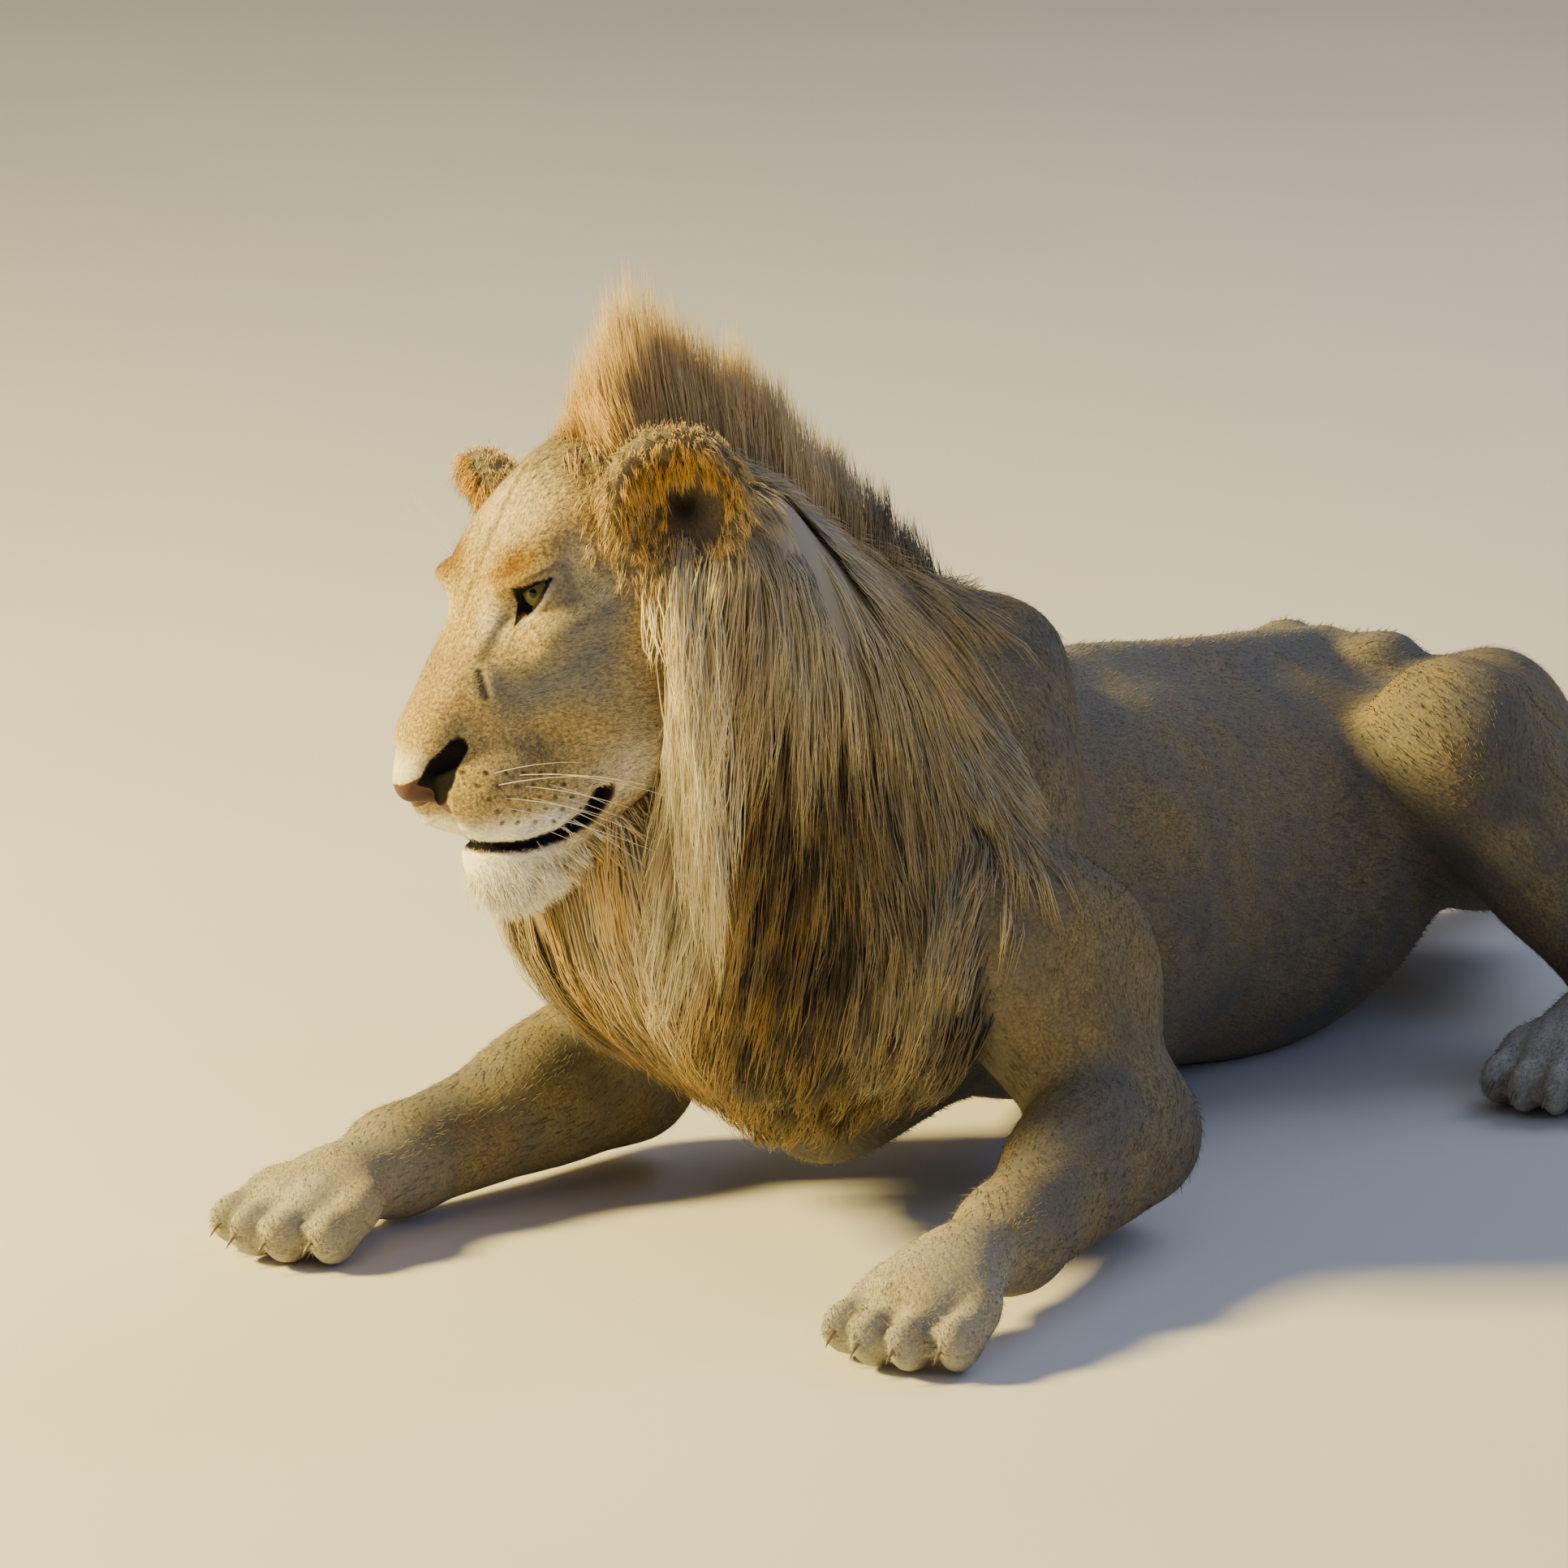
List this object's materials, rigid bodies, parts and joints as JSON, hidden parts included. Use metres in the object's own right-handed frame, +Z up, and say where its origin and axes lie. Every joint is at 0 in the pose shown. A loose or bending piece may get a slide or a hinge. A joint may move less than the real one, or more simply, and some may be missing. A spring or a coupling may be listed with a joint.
{
  "type": "lion",
  "caption": "Young male lion lying down with his head up and turned, short coat, mane on neck and chest, upright crest of hair on the nape.",
  "frame": {"origin": "centre of the bounding box, at floor level", "axes": "-Y is the way his body points, +X his left side, +Z up; the long side of the model runs along Y"},
  "size_m": [1.189, 2.1, 0.8568],
  "materials": {
    "coat": "short tawny hair",
    "mane": "long golden hair with brown depths",
    "tuft": "long dark brown hair",
    "eye": "wet amber eye"
  },
  "bodies": {
    "root": {"ear_left": "coat", "ear_right": "coat", "eye_left": "eye", "eye_right": "eye", "forearm_left": "coat", "forearm_right": "coat", "forepaw_left": "coat", "forepaw_right": "coat", "head": "coat", "hind_foot_left": "coat", "hind_foot_right": "coat", "mane_chest": "mane", "mane_crest": "mane", "neck": "coat", "shank_left": "coat", "shank_right": "coat", "tail": "coat", "tail_tuft": "tuft", "thigh_left": "coat", "thigh_right": "coat", "trunk": "coat", "upper_arm_left": "coat", "upper_arm_right": "coat"}
  },
  "joints": []
}
